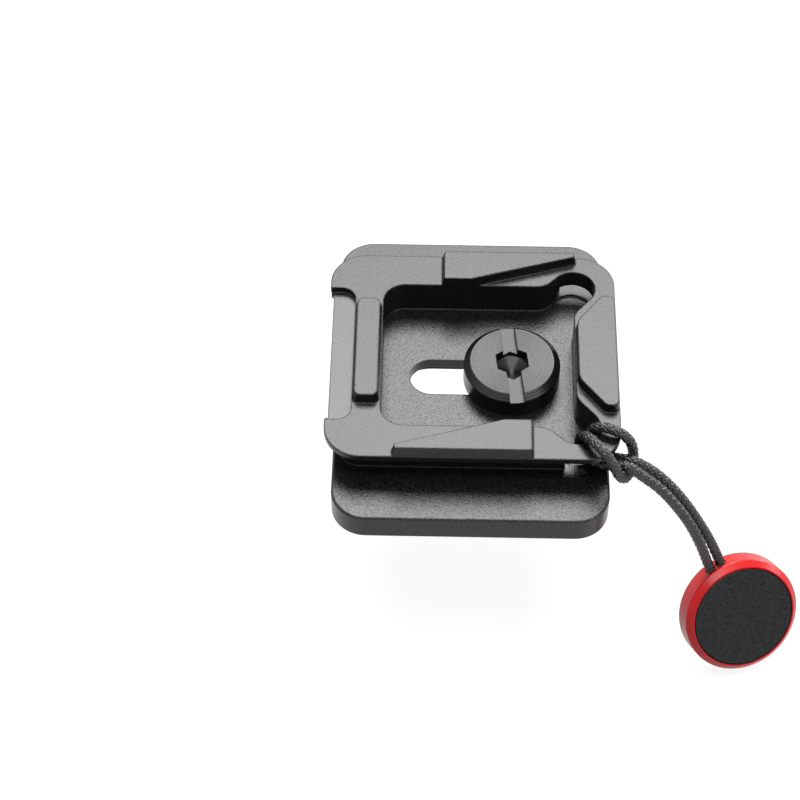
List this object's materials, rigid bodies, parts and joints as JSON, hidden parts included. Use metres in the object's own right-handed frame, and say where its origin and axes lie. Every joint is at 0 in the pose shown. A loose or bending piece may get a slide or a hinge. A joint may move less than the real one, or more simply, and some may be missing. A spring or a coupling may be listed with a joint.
{
  "type": "quick-release camera plate",
  "caption": "Black metal quick-release plate with a captive camera screw in a slot, raised locating pads, a clamp flange and a braided tether loop with a round disc.",
  "frame": {"origin": "centre of the plane where the rubber pad meets the camera, below the centre of the base", "axes": "+Z from the camera towards the clamp side, +X along the screw slot towards the tether, +Y across the clamp flange"},
  "size_m": [0.0714, 0.0542, 0.0453],
  "materials": {
    "anodised": "bead blasted, black anodised",
    "grip_rubber": "matt",
    "screw_steel": "turned, black oxide",
    "ring_steel": "spring steel",
    "cord_braid": "braided",
    "disc_red": "satin gloss",
    "disc_black": "smooth, semi matt"
  },
  "bodies": {
    "plate": {"plate_body": "anodised", "grip_pad": "grip_rubber", "tether_cord": "cord_braid", "disc_body": "disc_red", "disc_face": "disc_black"},
    "slider": {"retaining_ring": "ring_steel"},
    "screw": {"camera_screw": "screw_steel"}
  },
  "joints": [
    {"name": "screw_slide", "type": "slide", "parent": "plate", "child": "slider", "axis": [1, 0, 0], "range_m": [-0.0115, 0.0018]},
    {"name": "screw_turn", "type": "hinge", "parent": "slider", "child": "screw", "pos_m": [0.006, 0, 0], "axis": [0, 0, 1], "continuous": true}
  ]
}
